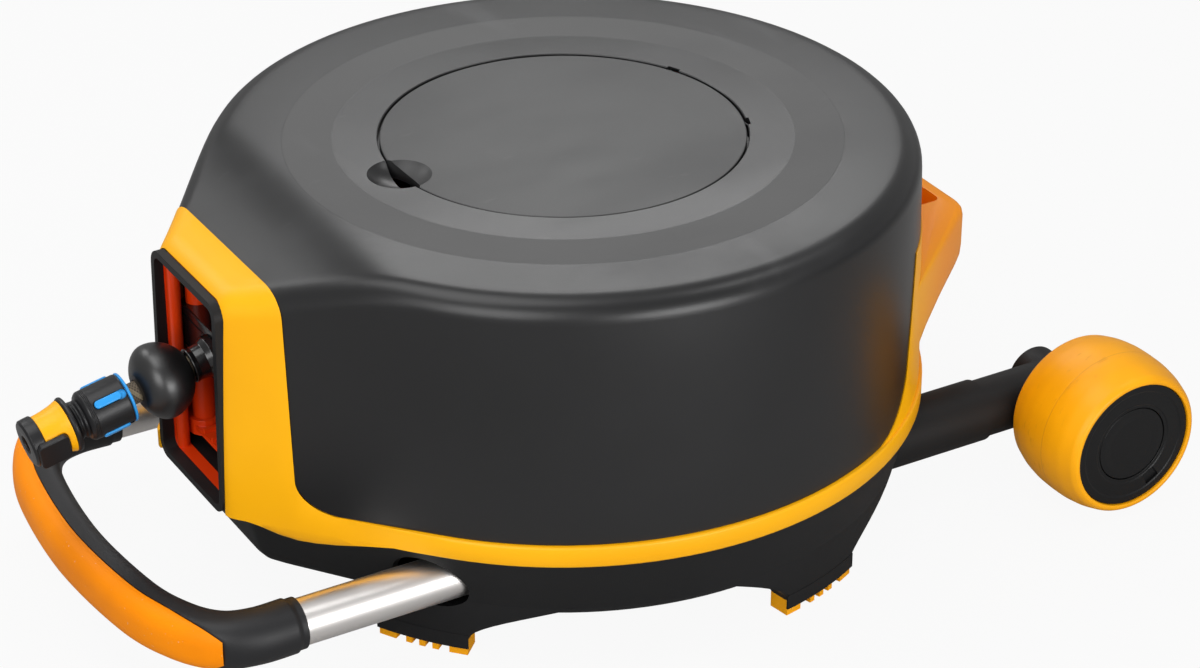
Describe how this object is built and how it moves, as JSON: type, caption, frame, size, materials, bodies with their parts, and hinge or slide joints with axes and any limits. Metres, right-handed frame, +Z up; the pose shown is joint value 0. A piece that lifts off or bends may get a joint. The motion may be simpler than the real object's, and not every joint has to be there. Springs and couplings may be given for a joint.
{
  "type": "garden hose reel",
  "caption": "Low round hose reel with lid over a folding-away crank, hose guide in the front opening, pull-out handle, carry handle, feet and wheels",
  "frame": {"origin": "on the ground under the middle of the whole reel's box, from the nozzle's tip to the back of the wheels", "axes": "+X from the pull handle and hose outlet to the wheels, +Y across the reel to the far side, +Z up"},
  "size_m": [0.7766, 0.4986, 0.275],
  "materials": {
    "charcoal": "fine satin grain",
    "black_gloss": "polished",
    "amber": "satin moulded",
    "orange_red": "satin moulded",
    "blue": "polished",
    "hose": "braided, dull",
    "aluminium": "satin drawn",
    "steel": "turned",
    "brass": "turned",
    "amber_rubber": "soft satin",
    "seal": "soft"
  },
  "bodies": {
    "base": {"base_tray": "charcoal", "foot_pad_front_near": "amber_rubber", "foot_pad_front_far": "amber_rubber", "foot_pad_rear_near": "amber_rubber", "foot_pad_rear_far": "amber_rubber", "drum_deck": "charcoal", "trim_frame": "amber", "top_cover": "charcoal", "crank_well": "charcoal", "lid_pin_near": "steel", "lid_pin_far": "steel", "outlet_bezel": "charcoal", "guide_base": "orange_red", "guide_column": "orange_red", "guide_bridge": "charcoal", "tube_guide_near": "charcoal", "tube_guide_far": "charcoal", "wheel_arm_near": "charcoal", "wheel_arm_far": "charcoal", "wheel_axle_near": "steel", "wheel_axle_far": "steel", "water_axle": "steel", "inlet_pipe": "charcoal", "inlet_connector": "charcoal", "idler_pin": "steel"},
    "lid": {"lid": "charcoal"},
    "drum": {"drum_core": "orange_red", "drum_flange_bottom": "orange_red", "drum_flange_top": "orange_red", "drum_gear": "charcoal", "hub_bush_lower": "brass", "hub_bush_upper": "brass", "water_seal": "seal", "drum_water_pipe": "brass", "hose_inner_turns": "hose", "hose_outer_turns": "hose", "crank_arm": "charcoal", "crank_screw": "steel", "crank_pin": "steel"},
    "knob": {"crank_knob": "amber"},
    "idler": {"idler_gear": "charcoal"},
    "spindle": {"spindle_gear": "charcoal", "cross_spindle": "steel"},
    "carriage": {"hose_carriage": "black_gloss", "hose_tail": "hose", "stop_ball": "black_gloss", "connector_body": "charcoal"},
    "collar": {"connector_collar": "blue"},
    "nozzle": {"nozzle_body": "amber", "nozzle_cover": "charcoal"},
    "handle": {"handle_tube_near": "aluminium", "handle_tube_far": "aluminium", "handle_grip": "charcoal", "grip_pad": "amber_rubber"},
    "wheel_near": {"tyre_near": "amber_rubber", "wheel_hub_near": "charcoal", "hub_cap_near": "charcoal"},
    "wheel_far": {"tyre_far": "amber_rubber", "wheel_hub_far": "charcoal", "hub_cap_far": "charcoal"}
  },
  "joints": [
    {"name": "lid_hinge", "type": "hinge", "parent": "base", "child": "lid", "pos_m": [0.13028, 0, 0.2722], "axis": [0, 1, 0], "range_deg": [0, 78]},
    {"name": "drum_spin", "type": "hinge", "parent": "base", "child": "drum", "pos_m": [0.01428, 0, 0.15], "axis": [0, 0, 1], "continuous": true},
    {"name": "knob_spin", "type": "hinge", "parent": "drum", "child": "knob", "pos_m": [-0.03374, 0.06146, 0.24], "axis": [0, 0, 1], "continuous": true},
    {"name": "idler_spin", "type": "hinge", "parent": "base", "child": "idler", "pos_m": [-0.11825, -0.03569, 0.095], "axis": [0, 0, 1], "continuous": true},
    {"name": "spindle_spin", "type": "hinge", "parent": "base", "child": "spindle", "pos_m": [-0.24172, -0.044, 0.15], "axis": [0, 0, 1], "continuous": true},
    {"name": "carriage_slide", "type": "slide", "parent": "base", "child": "carriage", "axis": [0, 0, 1], "range_m": [-0.048, 0.0385]},
    {"name": "collar_slide", "type": "slide", "parent": "carriage", "child": "collar", "axis": [0.9781, 0, 0.2079], "range_m": [0, 0.003], "stiffness_N_per_m": 200, "springref_m": -0.001},
    {"name": "nozzle_twist", "type": "hinge", "parent": "carriage", "child": "nozzle", "pos_m": [-0.29172, 0, 0.169], "axis": [-0.9781, 0, -0.2079], "range_deg": [0, 90]},
    {"name": "handle_slide", "type": "slide", "parent": "base", "child": "handle", "axis": [-1, 0, 0], "range_m": [0, 0.2]},
    {"name": "wheel_near_spin", "type": "hinge", "parent": "base", "child": "wheel_near", "pos_m": [0.33028, -0.2085, 0.058], "axis": [0, 1, 0], "continuous": true},
    {"name": "wheel_far_spin", "type": "hinge", "parent": "base", "child": "wheel_far", "pos_m": [0.33028, 0.2085, 0.058], "axis": [0, 1, 0], "continuous": true}
  ],
  "couplings": [
    {"joint": "idler_spin", "follows": "drum_spin", "ratio": -0.29787},
    {"joint": "spindle_spin", "follows": "drum_spin", "ratio": 1.75}
  ]
}
